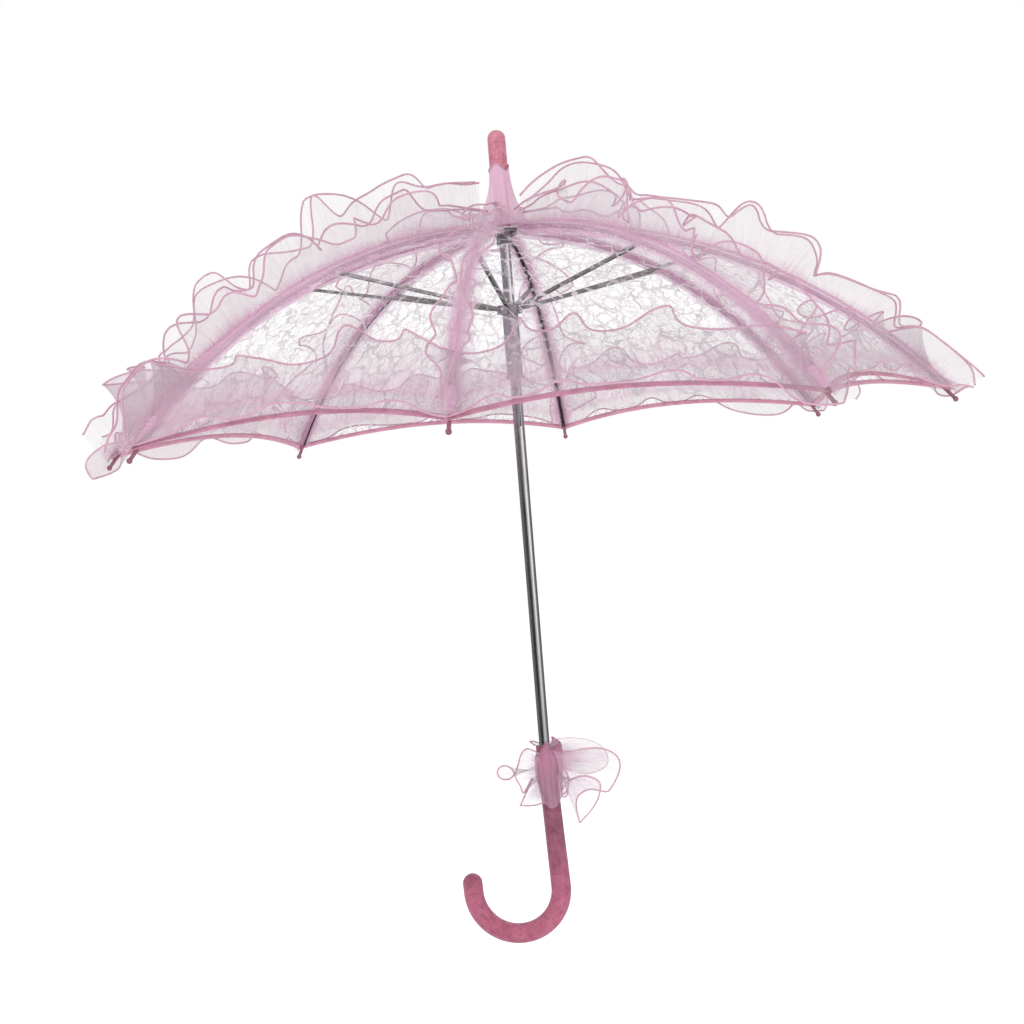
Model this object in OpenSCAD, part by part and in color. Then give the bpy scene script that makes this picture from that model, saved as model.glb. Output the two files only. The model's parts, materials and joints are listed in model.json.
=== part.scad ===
// Lace parasol: eight hinged ribs and stretchers on a straight tube with a crook handle.
// +Z runs up the shaft, and the origin is on the shaft's axis at the middle of the grip.
// The parasol is drawn open. Rib 1 points along +X and the crook opens towards -X.

/* [Canopy] */
// Number of ribs round the shaft
rib_count = 8; // [6:1:8]
// Radius of the open parasol, to the ends of its rib tips
open_r = 405; // [370:5:430]
// Radius that each rib is bent to
rib_arc_r = 520; // [500:5:600]
// Height of the crown's pivots above the middle of the grip
crown_z = 551; // [520:1:600]
// Radius of the hem half way between two ribs
hem_mid_r = 350; // [325:1:352]
// Thickness of the lace as a plain solid
lace_t = 0.8; // [0.5:0.1:1.5]
// Gap between the ribs' backs and the lace
lace_gap = 1.6; // [1.2:0.1:3]

/* [Ruffles] */
// How far a seam ruffle stands off the lace
seam_ruffle_h = 46; // [20:1:60]
// Radius where the hem ruffle is sewn on
hem_ruffle_in_r = 372; // [350:1:372]
// Radius that the hem ruffle reaches
hem_ruffle_out_r = 430; // [400:1:440]
// Thickness of the ruffles as plain solids
ruffle_t = 1.2; // [0.8:0.1:5]

/* [Ribs and stretchers] */
// Width of a rib's channel
rib_w = 2.6; // [2.6:0.1:3.2]
// Height of a rib's channel
rib_h = 2.6; // [2.4:0.1:2.8]
// Thickness of the ribs' sheet metal
rib_wall = 0.5; // [0.4:0.05:0.6]
// Radius at which a stretcher meets its rib
joint_r = 191; // [185:1:200]
// Thickness of the flat eyes that the ring wires go through
eye_t = 1.6; // [1.2:0.1:1.7]
// Radius of the rivets at the rib joints
rivet_r = 0.8; // [0.6:0.05:0.85]
// Length of a rib tip without its ball
tip_len = 16; // [12:1:22]
// Radius of the ball on a rib tip
tip_ball_r = 2.5; // [2:0.1:3]

/* [Shaft and runner] */
// Outer radius of the shaft
shaft_r = 5; // [4.5:0.1:5.2]
// Thickness of the shaft's wall
shaft_wall = 0.6; // [0.5:0.1:1]
// Radius of the ring wires that the ribs and stretchers hang on
ring_r = 10; // [9.8:0.1:10.4]
// Radius of the wire in those rings
wire_r = 0.6; // [0.5:0.05:0.7]
// Outer radius of the notched rims of crown and runner
rim_r = 12; // [11.6:0.1:13]
// Radius of the runner's sleeve
sleeve_r = 7.4; // [6.6:0.1:7.4]
// Length of the runner below its pivots
sleeve_len = 65; // [50:1:80]

/* [Ferrule] */
// Radius of the ferrule's cap
ferrule_r = 8.5; // [8:0.1:10]
// Height of the ferrule's top above the crown's pivots
ferrule_h = 96; // [85:1:110]
// Length of the ferrule's cap that stands clear of its wrap
ferrule_bare = 37; // [30:1:40]
// Radius of the wrap's skirt where it meets the lace
wrap_r = 27; // [22:1:32]

/* [Handle] */
// Radius of the covered handle at its top
grip_top_r = 8.4; // [8:0.1:9]
// Radius of the covered handle round the crook
grip_r = 9.4; // [9:0.1:11]
// Height of the handle's top above the middle of the grip
handle_top_z = 67; // [60:1:75]
// Length of the straight grip
grip_len = 134; // [125:1:145]
// Radius that the crook is bent to, along its middle
crook_r = 42; // [36:1:50]
// Straight length at the crook's end, before its round tip
crook_end = 9.5; // [5:0.5:20]
// Lean of the handle away from the shaft's axis, in degrees
handle_lean = 2.2; // [0:0.1:3]
// Thickness of the handle's satin cover
cover_t = 0.8; // [0.5:0.1:1]

/* [Hidden] */
$fn = 96;
pitch = 360 / rib_count;

// The ribs' common arc passes through the crown's pivots.
arc_z = crown_z - sqrt(rib_arc_r * rib_arc_r - ring_r * ring_r);
function arc_height(r, arc = rib_arc_r) = arc_z + sqrt(arc * arc - r * r);
function arc_angle(r) = acos(r / rib_arc_r);
joint_z = arc_height(joint_r);
// Rib and stretcher have equal arms, so the runner's pivots mirror the crown's about the joint.
runner_z = 2 * joint_z - crown_z;
arm = norm([joint_r - ring_r, crown_z - joint_z]);
arm_slope = atan2(crown_z - joint_z, joint_r - ring_r);

// Clearances: a running fit, an eye on its ring wire, and room beside a moving plate.
running = 0.05;
eye_running = 0.1;
side_gap = 0.2;
eye_r = 2.2;
eye_hole_r = wire_r + eye_running;
eye_reach = 7;
slot_w = eye_t + 2 * side_gap;
slot_in_r = ring_r - eye_r - side_gap;
ear_t = 0.5;
ear_r = 1.7;
ear_in = rib_w / 2 + 0.15;
ear_out = ear_in + ear_t;
fork_len = 11;
stretcher_h = 2.8;
rivet_head_r = 1.5;
rivet_head_t = 0.5;
disc_below = 3;
disc_above = 3;
crown_collar = 11;
runner_disc = 4;

// Rib ends: a crimped stretch, then a round pin inside the tip.
crimp_angle = 0.6;
crimp_inset = 0.2;
tip_gap = 0.4;
pin_r = 0.9;
pin_len = 5;
tip_r = 1.7;
tip_angle = arc_angle(open_r - (tip_len + tip_ball_r) * cos(45));
rib_end_r = rib_arc_r * cos(tip_angle);

// Lace: the back of the ribs plus the gap, and its inner and outer skins.
lace_in = rib_arc_r + rib_h / 2 + lace_gap;
lace_out = lace_in + lace_t;
lace_start_r = 14;
petal_gap = 0.5;
seam_gap = 0.3;
ruffle_in = lace_out + 0.5;

// Shaft: its lower end is glued in the handle and its upper end in the ferrule.
shaft_low_z = handle_top_z - 26;
shaft_top_z = crown_z + 72;
stop_z = runner_z + runner_disc + 2;
stop_r = 1;
catch_side = -pitch * 1.5;
catch_z = runner_z - sleeve_len - 0.7;
catch_len = 43;
catch_w = 1.8;
catch_out = 2.4;

// Draws in the vertical plane of rib k: x is the radius and y is the height.
module rib_plane(k)
    rotate([0, 0, (k - 1) * pitch])
        rotate([90, 0, 0])
            children();

// An outline swept along the ribs' arc, between two angles above the horizontal.
module arc_sweep(low, high)
    translate([0, arc_z, 0])
        rotate([0, 0, low])
            rotate_extrude(angle = high - low, $fn = 360)
                children();

// A channel's outline round the ribs' arc, open towards the shaft.
module channel_outline() {
    half = rib_w / 2;
    low = rib_arc_r - rib_h / 2;
    high = rib_arc_r + rib_h / 2;
    polygon([
        [low, -half], [high, -half], [high, half], [low, half],
        [low, half - rib_wall], [high - rib_wall, half - rib_wall],
        [high - rib_wall, rib_wall - half], [low, rib_wall - half]
    ]);
}

// Places its child at the rib's outer end, with +X along the rib.
module at_rib_end()
    translate([rib_arc_r * cos(tip_angle), arc_z + rib_arc_r * sin(tip_angle), 0])
        rotate([0, 0, tip_angle - 90])
            children();

// A round bar along +X.
module bar(r, len, from = 0)
    translate([from, 0, 0])
        rotate([0, 90, 0])
            cylinder(r = r, h = len);

// A round plate or hole square to the rib's plane.
module plate(r, t)
    cylinder(r = r, h = t, center = true, $fn = 48);

// Outline of an arc-shaped skin between two radii, as a section through the shaft's axis.
module skin_outline(inner, outer, r_from, r_to, steps = 14) {
    radii = [for (i = [0:steps]) r_from + (r_to - r_from) * i / steps];
    top = [for (r = radii) [r, arc_height(r, outer)]];
    under = [for (i = [steps:-1:0]) [radii[i], arc_height(radii[i], inner)]];
    polygon(concat(top, under));
}

// The sector of the plan that belongs to one rib, cut off along a hem of the given radii.
module petal_plan(rib_edge, mid_edge, steps = 6) {
    half = pitch / 2 - 0.05;
    angles = [for (i = [-steps:steps]) half * i / steps];
    edge = [for (a = angles)
        let (r = mid_edge + (rib_edge - mid_edge) * pow(1 - abs(a) / half, 2))
        [petal_gap + r * cos(a), r * sin(a)]];
    polygon(concat([[petal_gap, 0]], edge));
}

// The slit along rib 1 that parts the two gores sewn together there.
module seam_slit()
    translate([0, -seam_gap / 2, 0])
        cube([2 * open_r, seam_gap, 2 * open_r]);

module rib(k)
    color("dimgray")
    rib_plane(k)
    difference() {
        union() {
            arc_sweep(tip_angle, arc_angle(ring_r + eye_reach))
                channel_outline();
            arc_sweep(tip_angle - crimp_inset / 10, tip_angle + crimp_angle)
                translate([rib_arc_r - rib_h / 2 + crimp_inset, crimp_inset - rib_w / 2])
                    square([rib_h - 2 * crimp_inset, rib_w - 2 * crimp_inset]);
            arc_sweep(arc_angle(ring_r + 2 * eye_reach), arc_angle(ring_r))
                translate([rib_arc_r - 1.1, -eye_t / 2])
                    square([2.3, eye_t]);
            translate([ring_r, crown_z, 0])
                plate(eye_r, eye_t);
            at_rib_end()
                bar(pin_r, pin_len + 1, -1);
        }
        translate([ring_r, crown_z, 0])
            plate(eye_hole_r, 3 * eye_t);
        translate([joint_r, joint_z, 0])
            plate(rivet_r + running, 2 * rib_w);
    }

module rib_tip(k)
    color("rosybrown")
    rib_plane(k)
    at_rib_end()
    difference() {
        union() {
            translate([tip_gap, 0, 0])
                bar(tip_r, tip_len - tip_gap, running);
            translate([tip_len, 0, 0])
                sphere(r = tip_ball_r, $fn = 48);
        }
        bar(pin_r + running, pin_len + 1.5, -1);
    }

module rivet(k)
    color("silver")
    rib_plane(k)
    translate([joint_r, joint_z, 0]) {
        plate(rivet_r, 2 * ear_out + rivet_head_t);
        for (side = [-1, 1])
            translate([0, 0, side * (ear_out + running + rivet_head_t / 2)])
                plate(rivet_head_r, rivet_head_t);
    }

// The stretcher is drawn from its rib joint towards the runner, along +X.
module stretcher(k)
    color("gray")
    rib_plane(k)
    translate([joint_r, joint_z, 0])
    rotate([0, 0, 180 + arm_slope])
    difference() {
        channel_end = arm - eye_reach;
        union() {
            for (side = [-1, 1])
                translate([0, 0, side * (ear_in + ear_t / 2)]) {
                    plate(ear_r, ear_t);
                    translate([0, -stretcher_h / 2, -ear_t / 2])
                        cube([channel_end, stretcher_h, ear_t]);
                }
            translate([fork_len, -stretcher_h / 2, -ear_out])
                cube([channel_end - fork_len, ear_t, 2 * ear_out]);
            translate([channel_end - 6, -stretcher_h / 2 + 0.2, -eye_t / 2])
                cube([eye_reach + 6, 2.2, eye_t]);
            translate([arm, 0, 0])
                plate(eye_r, eye_t);
        }
        plate(rivet_r + running, 4 * ear_out);
        translate([arm, 0, 0])
            plate(eye_hole_r, 3 * eye_t);
    }

module canopy(k)
    color("pink", 0.5)
    rotate([0, 0, (k - 1) * pitch])
    difference() {
        intersection() {
            rotate_extrude($fn = rib_count)
                skin_outline(lace_in, lace_out, lace_start_r, rib_end_r + 4);
            translate([0, 0, arc_z])
                linear_extrude(2 * rib_arc_r)
                    petal_plan(rib_end_r, hem_mid_r);
        }
        seam_slit();
    }

module ruffle(k)
    color("lightpink", 0.5) {
        rib_plane(k)
            arc_sweep(tip_angle + 2, arc_angle(wrap_r + 12))
                translate([ruffle_in, -ruffle_t / 2])
                    square([seam_ruffle_h, ruffle_t]);
        rotate([0, 0, (k - 1) * pitch])
            intersection() {
                rotate_extrude($fn = rib_count)
                    skin_outline(ruffle_in, ruffle_in + ruffle_t, hem_ruffle_in_r,
                        hem_ruffle_out_r, 5);
                linear_extrude(2 * rib_arc_r)
                    petal_plan(2 * open_r, 2 * open_r);
            }
    }

// A ring wire of the crown or the runner.
module ring_wire(z, r)
    translate([0, 0, z])
        rotate_extrude()
            translate([ring_r, 0])
                circle(r = r, $fn = 48);

// The slots that the ribs' or stretchers' eyes sit in, cut right through a rim.
module eye_slots(low_z, high_z)
    for (k = [1:rib_count])
        rotate([0, 0, (k - 1) * pitch])
            translate([slot_in_r, -slot_w / 2, low_z - 1])
                cube([rim_r, slot_w, high_z - low_z + 2]);

module crown()
    color("dimgray")
    difference() {
        union() {
            translate([0, 0, crown_z - disc_below])
                cylinder(r = rim_r, h = disc_below + disc_above);
            translate([0, 0, crown_z - crown_collar])
                cylinder(r = sleeve_r, h = crown_collar);
        }
        translate([0, 0, crown_z - 2 * crown_collar])
            cylinder(r = shaft_r + running, h = 4 * crown_collar);
        ring_wire(crown_z, wire_r + running);
        eye_slots(crown_z - disc_below, crown_z + disc_above);
    }

module crown_wire()
    color("silver")
        ring_wire(crown_z, wire_r);

module runner()
    color("thistle")
    difference() {
        union() {
            translate([0, 0, runner_z - runner_disc])
                cylinder(r = rim_r, h = 2 * runner_disc);
            translate([0, 0, runner_z - sleeve_len])
                cylinder(r = sleeve_r, h = sleeve_len);
            translate([0, 0, runner_z - sleeve_len])
                cylinder(r = rim_r - 3.2, h = 3);
        }
        translate([0, 0, runner_z - 2 * sleeve_len])
            cylinder(r = shaft_r + 2 * running, h = 4 * sleeve_len);
        ring_wire(runner_z, wire_r + running);
        eye_slots(runner_z - runner_disc, runner_z + runner_disc);
    }

module runner_wire()
    color("silver")
        ring_wire(runner_z, wire_r);

// Places its child in the upright plane of the catch, with x outwards and y up.
module catch_plane()
    rotate([0, 0, catch_side])
        rotate([90, 0, 0])
            children();

module shaft()
    color("lightgray")
    difference() {
        translate([0, 0, shaft_low_z])
            cylinder(r = shaft_r, h = shaft_top_z - shaft_low_z);
        translate([0, 0, shaft_low_z - 1])
            cylinder(r = shaft_r - shaft_wall, h = shaft_top_z - shaft_low_z + 2);
        rotate([0, 0, catch_side])
            translate([0, -catch_w / 2 - side_gap, catch_z - catch_len - 1])
                cube([2 * shaft_r, catch_w + 2 * side_gap, catch_len + 2]);
        translate([0, 0, stop_z])
            rotate([0, 0, catch_side])
                bar(stop_r + running, 4 * shaft_r, -2 * shaft_r);
    }

module stop_pin()
    color("silver")
        translate([0, 0, stop_z])
            rotate([0, 0, catch_side])
                bar(stop_r, 2 * (shaft_r + 1.2), -shaft_r - 1.2);

// A bent strip: its ledge holds the runner up, and its slope lets the runner slide over it.
module catch_spring()
    color("silver")
    catch_plane()
        linear_extrude(catch_w, center = true)
            difference() {
                polygon([
                    [1.5, catch_z - catch_len], [3.2, catch_z - catch_len],
                    [shaft_r + catch_out, catch_z - 3], [shaft_r + catch_out, catch_z],
                    [1.5, catch_z]
                ]);
                polygon([
                    [2.3, catch_z - catch_len + 6], [shaft_r + 1.2, catch_z - 3],
                    [shaft_r + 1.2, catch_z - 1], [2.3, catch_z - 1]
                ]);
            }

module ferrule() {
    top_z = crown_z + ferrule_h;
    base_z = crown_z + disc_above + 2;
    color("palevioletred")
    difference() {
        union() {
            translate([0, 0, base_z])
                cylinder(r = sleeve_r, h = ferrule_h - disc_above - 2 - ferrule_r);
            translate([0, 0, top_z - ferrule_bare])
                cylinder(r = ferrule_r, h = ferrule_bare - ferrule_r);
            translate([0, 0, top_z - ferrule_r])
                sphere(r = ferrule_r);
        }
        translate([0, 0, base_z - 1])
            cylinder(r = shaft_r + running, h = shaft_top_z - base_z + 1.5);
    }
}

// The organza wrap: a tight neck round the ferrule that flares to a skirt on the lace.
module ferrule_wrap() {
    neck_z = crown_z + ferrule_h - ferrule_bare - 0.5;
    skirt_z = crown_z + 9;
    neck_r = sleeve_r + 1.6;
    thick = 1;
    color("pink", 0.6)
    rotate_extrude()
        polygon([
            [neck_r - thick, neck_z], [neck_r, neck_z], [neck_r + 2, skirt_z + 34],
            [neck_r + 7, skirt_z + 15], [wrap_r, skirt_z], [wrap_r - 1, skirt_z - thick],
            [neck_r + 6, skirt_z + 13], [neck_r + 1, skirt_z + 34]
        ]);
}

// A solid crook: straight grip, half turn, short straight end and round tip.
// It hangs from the origin, shrunk by the given amount all round.
module crook(less) {
    low_r = grip_r - less;
    translate([0, 0, -grip_len])
        cylinder(r1 = low_r, r2 = grip_top_r - less, h = grip_len);
    translate([-crook_r, 0, -grip_len])
        rotate([-90, 0, 0])
            rotate_extrude(angle = 180)
                translate([crook_r, 0])
                    circle(r = low_r, $fn = 48);
    translate([-2 * crook_r, 0, -grip_len]) {
        cylinder(r = low_r, h = crook_end);
        translate([0, 0, crook_end])
            sphere(r = low_r, $fn = 48);
    }
}

// Hangs its child from the top of the handle, leaning out from the shaft.
module at_handle()
    translate([0, 0, handle_top_z])
        rotate([0, -handle_lean, 0])
            children();

module handle()
    color("mediumvioletred")
    difference() {
        at_handle()
            crook(cover_t + running);
        translate([0, 0, shaft_low_z - 0.5])
            cylinder(r = shaft_r + running, h = 2 * handle_top_z);
    }

module handle_cover()
    color("palevioletred")
    at_handle()
    difference() {
        crook(0);
        crook(cover_t);
        translate([0, 0, -0.05])
            cylinder(r = 2 * grip_r, h = grip_r);
    }

// The bow: a gathered band round the grip's top, with loops on both sides of it.
module handle_bow()
    color("pink", 0.6)
    at_handle()
    difference() {
        union() {
            translate([0, 0, -32])
                cylinder(r1 = grip_top_r + 1.5, r2 = grip_top_r + 4.5, h = 34);
            rotate([90, 0, 0])
                linear_extrude(26, center = true)
                    polygon([
                        [6, 2], [30, 4], [56, -6], [64, -24], [54, -38], [42, -64],
                        [36, -40], [20, -34], [6, -26]
                    ]);
            rotate([90, 0, 0])
                linear_extrude(22, center = true)
                    polygon([
                        [-6, 0], [-26, 1], [-44, -14], [-44, -24], [-30, -26], [-26, -48],
                        [-6, -30]
                    ]);
        }
        translate([0, 0, -100])
            cylinder(r = grip_top_r + 0.9, h = 200);
    }

shaft();
crown();
crown_wire();
stop_pin();
catch_spring();
runner();
runner_wire();
ferrule();
ferrule_wrap();
handle();
handle_cover();
handle_bow();
for (k = [1:rib_count]) {
    rib(k);
    rib_tip(k);
    rivet(k);
    stretcher(k);
    canopy(k);
    ruffle(k);
}
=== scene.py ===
import math
import random

import bmesh
import bpy
import numpy as np
from mathutils import Matrix, Vector
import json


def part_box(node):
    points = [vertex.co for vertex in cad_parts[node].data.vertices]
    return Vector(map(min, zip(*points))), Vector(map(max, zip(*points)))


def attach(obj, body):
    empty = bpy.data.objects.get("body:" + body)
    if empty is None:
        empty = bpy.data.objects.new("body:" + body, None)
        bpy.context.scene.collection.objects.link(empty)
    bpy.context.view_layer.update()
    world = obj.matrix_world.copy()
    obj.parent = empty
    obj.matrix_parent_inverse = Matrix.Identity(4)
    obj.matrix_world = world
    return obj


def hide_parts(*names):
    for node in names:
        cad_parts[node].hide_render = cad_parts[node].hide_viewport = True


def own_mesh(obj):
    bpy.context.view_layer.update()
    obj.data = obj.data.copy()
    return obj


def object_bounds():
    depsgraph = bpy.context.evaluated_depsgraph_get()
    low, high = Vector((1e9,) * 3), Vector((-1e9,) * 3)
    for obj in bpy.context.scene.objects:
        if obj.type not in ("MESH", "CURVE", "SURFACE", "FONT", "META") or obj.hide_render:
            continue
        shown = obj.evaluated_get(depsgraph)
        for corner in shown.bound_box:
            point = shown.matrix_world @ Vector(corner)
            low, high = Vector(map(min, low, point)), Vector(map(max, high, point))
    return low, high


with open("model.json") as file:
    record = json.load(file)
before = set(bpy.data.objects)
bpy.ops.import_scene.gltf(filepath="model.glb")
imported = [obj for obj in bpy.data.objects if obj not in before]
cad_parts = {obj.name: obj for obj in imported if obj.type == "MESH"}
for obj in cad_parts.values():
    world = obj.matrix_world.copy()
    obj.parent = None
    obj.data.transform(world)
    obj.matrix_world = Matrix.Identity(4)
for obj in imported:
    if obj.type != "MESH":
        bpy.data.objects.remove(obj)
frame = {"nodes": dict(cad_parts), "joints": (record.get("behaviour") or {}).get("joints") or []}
cad_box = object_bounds()

RIBS = 8


# ---------------------------------------------------------------- measures taken from the frame

joints = {j["name"]: j for j in frame["joints"]}


def reach(point):
    """Distance of a point from the shaft's axis."""
    return math.hypot(point[0], point[1])


crown_pivot = joints["rib_1_fold"]["pos_m"]
stretcher_eye = joints["stretcher_1_fold"]["pos_m"]
pivot_r, pivot_z = reach(crown_pivot), crown_pivot[2]
eye_r, eye_z = reach(stretcher_eye), stretcher_eye[2]
# the ribs bend on one circle through the crown pivot and the stretcher's eye
ARC_Z = (eye_r ** 2 + eye_z ** 2 - pivot_r ** 2 - pivot_z ** 2) / (2 * (eye_z - pivot_z))
RIB_ARC = math.hypot(pivot_r, pivot_z - ARC_Z)
LACE_ARC = RIB_ARC + 0.0030   # the lace lies on top of the ribs
HEM_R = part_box("rib_tip_1")[1].x - 0.0065
HEM_DIP = 0.0175   # how far the hem is cut back between two ribs
NECK_R = 0.0115    # where the lace starts, close round the crown
GRIP_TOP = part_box("handle")[1].z
ferrule_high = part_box("ferrule")[1]
wrap_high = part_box("ferrule_wrap")[1]


def azimuth(k):
    """Direction of rib k round the shaft, rib 1 along +X."""
    return math.radians(360 / RIBS * (k - 1))


def arc_height(rho, arc):
    """Height above the origin of the dome at distance rho from the axis."""
    return ARC_Z + math.sqrt(max(arc * arc - rho * rho, 0))


# ---------------------------------------------------------------- camera, light and floor

def aim_camera():
    yaw, pitch, roll = -0.13694, -0.02378, -0.07945
    forward = Vector((math.sin(yaw) * math.cos(pitch), math.cos(yaw) * math.cos(pitch), math.sin(pitch)))
    level = Vector((math.cos(yaw), -math.sin(yaw), 0))
    upright = level.cross(forward)
    right = level * math.cos(roll) + upright * math.sin(roll)
    up = upright * math.cos(roll) - level * math.sin(roll)
    data = bpy.data.cameras.new("camera")
    data.lens = 68.07
    data.sensor_width = 36.0
    data.clip_end = 60.0
    cam = bpy.data.objects.new("camera", data)
    place = Matrix((right, up, -forward)).transposed().to_4x4()
    place.translation = Vector((0.2358, -1.8074, 0.3321))
    cam.matrix_world = place
    bpy.context.scene.collection.objects.link(cam)
    bpy.context.scene.camera = cam
    return cam


def soft_light(name, at, towards, size, power, tint=(1.0, 1.0, 1.0)):
    data = bpy.data.lights.new(name, "AREA")
    data.shape = "DISK"
    data.size = size
    data.energy = power
    data.color = tint
    lamp = bpy.data.objects.new(name, data)
    lamp.location = at
    lamp.rotation_euler = (Vector(towards) - Vector(at)).to_track_quat("-Z", "Y").to_euler()
    bpy.context.scene.collection.objects.link(lamp)
    return lamp


def studio_surround():
    """Even white surround; what shiny parts mirror is split into a bright side and a dark side."""
    world = bpy.data.worlds.new("studio")
    bpy.context.scene.world = world
    world.use_nodes = True
    nodes, links = world.node_tree.nodes, world.node_tree.links
    nodes.clear()
    out = nodes.new("ShaderNodeOutputWorld")
    plain = nodes.new("ShaderNodeBackground")
    plain.inputs["Color"].default_value = (1.0, 1.0, 1.0, 1)
    plain.inputs["Strength"].default_value = 0.80
    seen = nodes.new("ShaderNodeBackground")
    seen.inputs["Color"].default_value = (1.0, 1.0, 1.0, 1)
    seen.inputs["Strength"].default_value = 1.0
    mirrored = nodes.new("ShaderNodeBackground")
    where = nodes.new("ShaderNodeTexCoord")
    split = nodes.new("ShaderNodeSeparateXYZ")
    turn = nodes.new("ShaderNodeMath")
    turn.operation = "ARCTAN2"
    share = nodes.new("ShaderNodeMapRange")
    share.inputs["From Min"].default_value = -math.pi
    share.inputs["From Max"].default_value = math.pi
    bands = nodes.new("ShaderNodeValToRGB")
    ramp = bands.color_ramp
    steps = [(0.0, 0.16), (0.085, 0.14), (0.11, 0.012), (0.255, 0.012), (0.285, 0.50), (0.385, 0.62),
             (0.42, 0.16), (0.62, 0.12), (0.80, 0.20), (1.0, 0.16)]
    ramp.elements[0].position = steps[0][0]
    ramp.elements[-1].position = steps[-1][0]
    for at, _ in steps[1:-1]:
        ramp.elements.new(at)
    for element, (at, value) in zip(ramp.elements, steps):
        element.position = at
        element.color = (value, value, value * 1.01, 1)
    lights = nodes.new("ShaderNodeLightPath")
    gloss = nodes.new("ShaderNodeMixShader")
    view = nodes.new("ShaderNodeMixShader")
    links.new(where.outputs["Generated"], split.inputs[0])
    links.new(split.outputs["Y"], turn.inputs[0])
    links.new(split.outputs["X"], turn.inputs[1])
    links.new(turn.outputs[0], share.inputs["Value"])
    links.new(share.outputs[0], bands.inputs[0])
    links.new(bands.outputs["Color"], mirrored.inputs["Color"])
    links.new(lights.outputs["Is Glossy Ray"], gloss.inputs[0])
    links.new(plain.outputs[0], gloss.inputs[1])
    links.new(mirrored.outputs[0], gloss.inputs[2])
    links.new(lights.outputs["Is Camera Ray"], view.inputs[0])
    links.new(gloss.outputs[0], view.inputs[1])
    links.new(seen.outputs[0], view.inputs[2])
    links.new(view.outputs[0], out.inputs["Surface"])


def lay_floor():
    bm = bmesh.new()
    bmesh.ops.create_grid(bm, x_segments=2, y_segments=2, size=14.0)
    for v in bm.verts:
        v.co.z = cad_box[0].z - 0.22
    mesh = bpy.data.meshes.new("floor")
    bm.to_mesh(mesh)
    bm.free()
    floor = bpy.data.objects.new("floor", mesh)
    floor.visible_glossy = False
    bpy.context.scene.collection.objects.link(floor)
    mat = bpy.data.materials.new("floor_paint")
    mat.use_nodes = True
    paint = mat.node_tree.nodes["Principled BSDF"]
    paint.inputs["Base Color"].default_value = (0.93, 0.93, 0.935, 1)
    paint.inputs["Roughness"].default_value = 0.9
    paint.inputs["Emission Color"].default_value = (1, 1, 1, 1)
    paint.inputs["Emission Strength"].default_value = 0.34
    mesh.materials.append(mat)
    return floor


aim_camera()
studio_surround()
lay_floor()
soft_light("key", (-1.3, -1.7, 2.0), (0, 0, 0.35), 1.5, 22)
soft_light("fill", (1.9, -1.2, 0.7), (0, 0, 0.3), 1.8, 9)
soft_light("back", (0.5, 2.0, 1.6), (0, 0, 0.4), 1.8, 12)
scene = bpy.context.scene
scene.view_settings.view_transform = "Standard"
scene.view_settings.look = "None"
scene.view_settings.exposure = 0.0
scene.cycles.transparent_max_bounces = 64
scene.cycles.max_bounces = 8


# ---------------------------------------------------------------- effects shared by several finishes

def start_group(name, takes, gives):
    """New shader group with named sockets. takes: (name, type, default); gives: (name, type)."""
    group = bpy.data.node_groups.new(name, "ShaderNodeTree")
    for label, kind, value in takes:
        socket = group.interface.new_socket(name=label, in_out="INPUT", socket_type="NodeSocket" + kind)
        if value is not None:
            socket.default_value = value
    for label, kind in gives:
        group.interface.new_socket(name=label, in_out="OUTPUT", socket_type="NodeSocket" + kind)
    enter = group.nodes.new("NodeGroupInput")
    leave = group.nodes.new("NodeGroupOutput")
    return group, enter, leave


class Bench:
    """Short way to add and join nodes in one tree."""

    def __init__(self, tree):
        self.nodes = tree.nodes
        self.links = tree.links

    def add(self, kind, settings=(), **values):
        node = self.nodes.new("ShaderNode" + kind)
        for key, value in dict(settings).items():
            setattr(node, key, value)
        for key, value in values.items():
            self.feed(value, self.socket(node, key))
        return node

    def socket(self, node, key):
        name = key.replace("_", " ")
        if key.startswith("i") and key[1:].isdigit():
            return node.inputs[int(key[1:])]
        return node.inputs[name]

    def feed(self, value, socket):
        if hasattr(value, "is_output"):
            self.links.new(value, socket)
        else:
            socket.default_value = value

    def math(self, operation, first, second=0.0, clamp=False):
        node = self.add("Math", {"operation": operation, "use_clamp": clamp}, i0=first, i1=second)
        return node.outputs[0]

    def blend(self, share, low, high):
        node = self.add("Mix", {"data_type": "RGBA", "clamp_factor": True})
        self.feed(share, node.inputs[0])
        self.feed(low, node.inputs[6])
        self.feed(high, node.inputs[7])
        return node.outputs[2]

    def between(self, value, low, high, to_low=0.0, to_high=1.0, smooth=True):
        kind = "SMOOTHSTEP" if smooth else "LINEAR"
        node = self.add("MapRange", {"interpolation_type": kind})
        for label, number in (("Value", value), ("From Min", low), ("From Max", high),
                              ("To Min", to_low), ("To Max", to_high)):
            self.feed(number, node.inputs[label])
        return node.outputs[0]


def make_mottle():
    """Uneven dye: two sizes of soft blotch mixed to one mask."""
    group, enter, leave = start_group(
        "mottle",
        [("Vector", "Vector", None), ("Scale", "Float", 60.0), ("Contrast", "Float", 1.0)],
        [("Mask", "Float")])
    b = Bench(group)
    broad = b.add("TexNoise", Vector=enter.outputs["Vector"], Scale=enter.outputs["Scale"], Detail=4.0,
                  Roughness=0.6)
    finer = b.math("MULTIPLY", enter.outputs["Scale"], 3.7)
    fine = b.add("TexNoise", Vector=enter.outputs["Vector"], Scale=finer, Detail=3.0, Roughness=0.7)
    both = b.math("ADD", b.math("MULTIPLY", broad.outputs[0], 0.65),
                  b.math("MULTIPLY", fine.outputs[0], 0.35))
    spread = b.math("MULTIPLY", b.math("SUBTRACT", both, 0.5),
                    b.math("MULTIPLY", enter.outputs["Contrast"], 3.0))
    mask = b.math("ADD", spread, 0.5, clamp=True)
    b.links.new(mask, leave.inputs["Mask"])
    return group


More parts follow.
